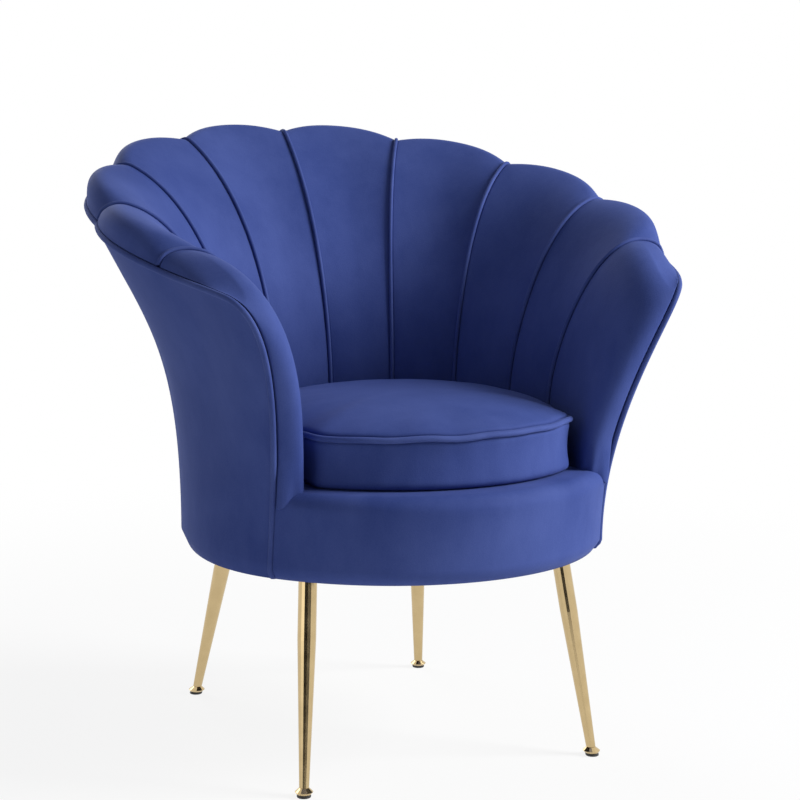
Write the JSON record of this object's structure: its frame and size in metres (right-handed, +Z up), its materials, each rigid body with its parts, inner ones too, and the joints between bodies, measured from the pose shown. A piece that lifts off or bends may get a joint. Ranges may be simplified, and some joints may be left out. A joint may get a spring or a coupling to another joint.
{
  "type": "upholstered shell armchair",
  "caption": "Low armchair: a channelled, scalloped velvet shell wraps a loose boxed seat cushion on slim splayed metal legs.",
  "frame": {"origin": "middle of the bounding box in plan, on the floor plane under the glide pads", "axes": "+Z up, the chair faces -Y, +X is the chair's left-hand side for a person who sits in it, and the mirror plane is YZ"},
  "size_m": [0.7834, 0.7046, 0.8183],
  "materials": {
    "velvet": "short-pile matt velvet, navy blue, paler where it is seen along the pile",
    "velvet_piping": "the same velvet, wrapped on a cord",
    "gold_plate": "polished pale gold plating",
    "zinc_screw": "zinc-plated",
    "glide_pad": "matt black",
    "plywood": "bare plywood",
    "webbing": "black woven webbing",
    "lining": "dark plain-woven lining"
  },
  "bodies": {
    "chair": {"back_shell": "plywood", "channel_welt_1": "velvet_piping", "channel_welt_2": "velvet_piping", "channel_welt_3": "velvet_piping", "channel_welt_4": "velvet_piping", "channel_welt_5": "velvet_piping", "channel_welt_6": "velvet_piping", "channel_welt_7": "velvet_piping", "channel_welt_8": "velvet_piping", "channel_welt_9": "velvet_piping", "cross_strap_1": "webbing", "cross_strap_2": "webbing", "cross_strap_3": "webbing", "deck_pad": "lining", "dust_cover": "lining", "edge_welt": "velvet_piping", "front_apron": "velvet", "leg_front_left": "gold_plate", "leg_front_right": "gold_plate", "leg_rear_left": "gold_plate", "leg_rear_right": "gold_plate", "leg_screw_front_left_1": "zinc_screw", "leg_screw_front_left_2": "zinc_screw", "leg_screw_front_left_3": "zinc_screw", "leg_screw_front_right_1": "zinc_screw", "leg_screw_front_right_2": "zinc_screw", "leg_screw_front_right_3": "zinc_screw", "leg_screw_rear_left_1": "zinc_screw", "leg_screw_rear_left_2": "zinc_screw", "leg_screw_rear_left_3": "zinc_screw", "leg_screw_rear_right_1": "zinc_screw", "leg_screw_rear_right_2": "zinc_screw", "leg_screw_rear_right_3": "zinc_screw", "long_strap_1": "webbing", "long_strap_2": "webbing", "long_strap_3": "webbing", "outer_cover": "velvet", "petal_01": "velvet", "petal_02": "velvet", "petal_03": "velvet", "petal_04": "velvet", "petal_05": "velvet", "petal_06": "velvet", "petal_07": "velvet", "petal_08": "velvet", "petal_09": "velvet", "petal_10": "velvet", "seat_frame": "plywood"},
    "cushion": {"seat_cushion": "velvet", "cushion_welt": "velvet_piping"},
    "foot_front_left": {"glide_front_left": "gold_plate", "glide_pad_front_left": "glide_pad"},
    "foot_front_right": {"glide_front_right": "gold_plate", "glide_pad_front_right": "glide_pad"},
    "foot_rear_left": {"glide_rear_left": "gold_plate", "glide_pad_rear_left": "glide_pad"},
    "foot_rear_right": {"glide_rear_right": "gold_plate", "glide_pad_rear_right": "glide_pad"}
  },
  "joints": [
    {"name": "cushion_lift", "type": "slide", "parent": "chair", "child": "cushion", "axis": [0, 0, 1], "range_m": [0, 0.45]},
    {"name": "glide_height_front_left", "type": "slide", "parent": "chair", "child": "foot_front_left", "axis": [-0.0966, -0.1961, -0.9758], "range_m": [0, 0.008]},
    {"name": "glide_height_front_right", "type": "slide", "parent": "chair", "child": "foot_front_right", "axis": [0.0966, -0.1961, -0.9758], "range_m": [0, 0.008]},
    {"name": "glide_height_rear_left", "type": "slide", "parent": "chair", "child": "foot_rear_left", "axis": [-0.124, 0.2141, -0.9689], "range_m": [0, 0.008]},
    {"name": "glide_height_rear_right", "type": "slide", "parent": "chair", "child": "foot_rear_right", "axis": [0.124, 0.2141, -0.9689], "range_m": [0, 0.008]}
  ]
}
